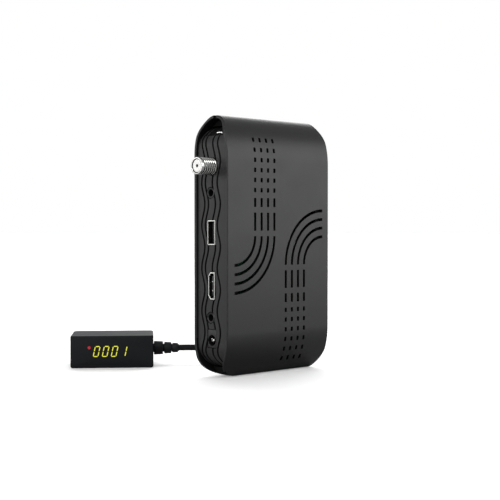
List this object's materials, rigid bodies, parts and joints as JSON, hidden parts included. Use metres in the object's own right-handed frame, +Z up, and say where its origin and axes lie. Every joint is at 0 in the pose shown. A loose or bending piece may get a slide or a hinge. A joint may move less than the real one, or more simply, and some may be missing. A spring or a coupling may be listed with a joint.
{
  "type": "satellite tv receiver",
  "caption": "Slim upright satellite receiver in a dark arched sleeve with vent slots and a wave-grooved connector panel, with a wired display box.",
  "frame": {"origin": "middle of the flat on the lower arch that the receiver stands on", "axes": "+Z up along the receiver's length, +X from the connector panel to the far side panel, +Y from the vented face to the back"},
  "size_m": [0.1633, 0.1263, 0.1428],
  "materials": {
    "shell_plastic": "satin",
    "panel_plastic": "matte",
    "black_plastic": "satin",
    "chip_plastic": "matte",
    "white_plastic": "satin",
    "nickel": "polished",
    "steel": "satin",
    "brass": "satin",
    "aluminium": "satin",
    "board": "solder mask",
    "rubber": "matte",
    "cord_jacket": "satin",
    "clear_light": "polished",
    "display_plastic": "satin",
    "smoked_window": "polished",
    "digit_grey": "satin",
    "lamp_red": "polished"
  },
  "bodies": {
    "root": {"front_cover": "shell_plastic", "rear_cover": "shell_plastic", "connector_panel": "panel_plastic", "far_side_panel": "panel_plastic", "foot_1": "rubber", "foot_2": "rubber", "foot_3": "rubber", "foot_4": "rubber", "cover_screw_1": "steel", "cover_screw_2": "steel", "cover_screw_3": "steel", "cover_screw_4": "steel", "main_board": "board", "board_screw_1": "steel", "board_screw_2": "steel", "board_screw_3": "steel", "board_screw_4": "steel", "tuner_can": "steel", "processor": "chip_plastic", "heat_sink": "aluminium", "memory_chip_1": "chip_plastic", "memory_chip_2": "chip_plastic", "flash_chip": "chip_plastic", "power_inductor": "chip_plastic", "capacitor_1": "aluminium", "capacitor_2": "aluminium", "capacitor_3": "aluminium", "crystal": "steel", "aerial_socket_body": "nickel", "aerial_socket_insulator": "white_plastic", "aerial_socket_contact": "brass", "serial_jack": "black_plastic", "av_jack": "black_plastic", "usb_shell": "nickel", "usb_tongue": "black_plastic", "video_shell": "nickel", "video_tongue": "black_plastic", "power_jack_body": "black_plastic", "power_jack_pin": "nickel", "light_bar": "clear_light", "display_shell": "display_plastic", "display_window": "smoked_window", "digit_module": "digit_grey", "display_board": "board", "status_lamp": "lamp_red", "remote_sensor": "chip_plastic", "display_strain_relief": "rubber", "display_cord": "cord_jacket", "display_cord_coil": "cord_jacket", "display_cord_tail": "cord_jacket", "display_plug_body": "rubber", "display_plug_pin": "nickel", "coil_tie": "rubber"}
  },
  "joints": []
}
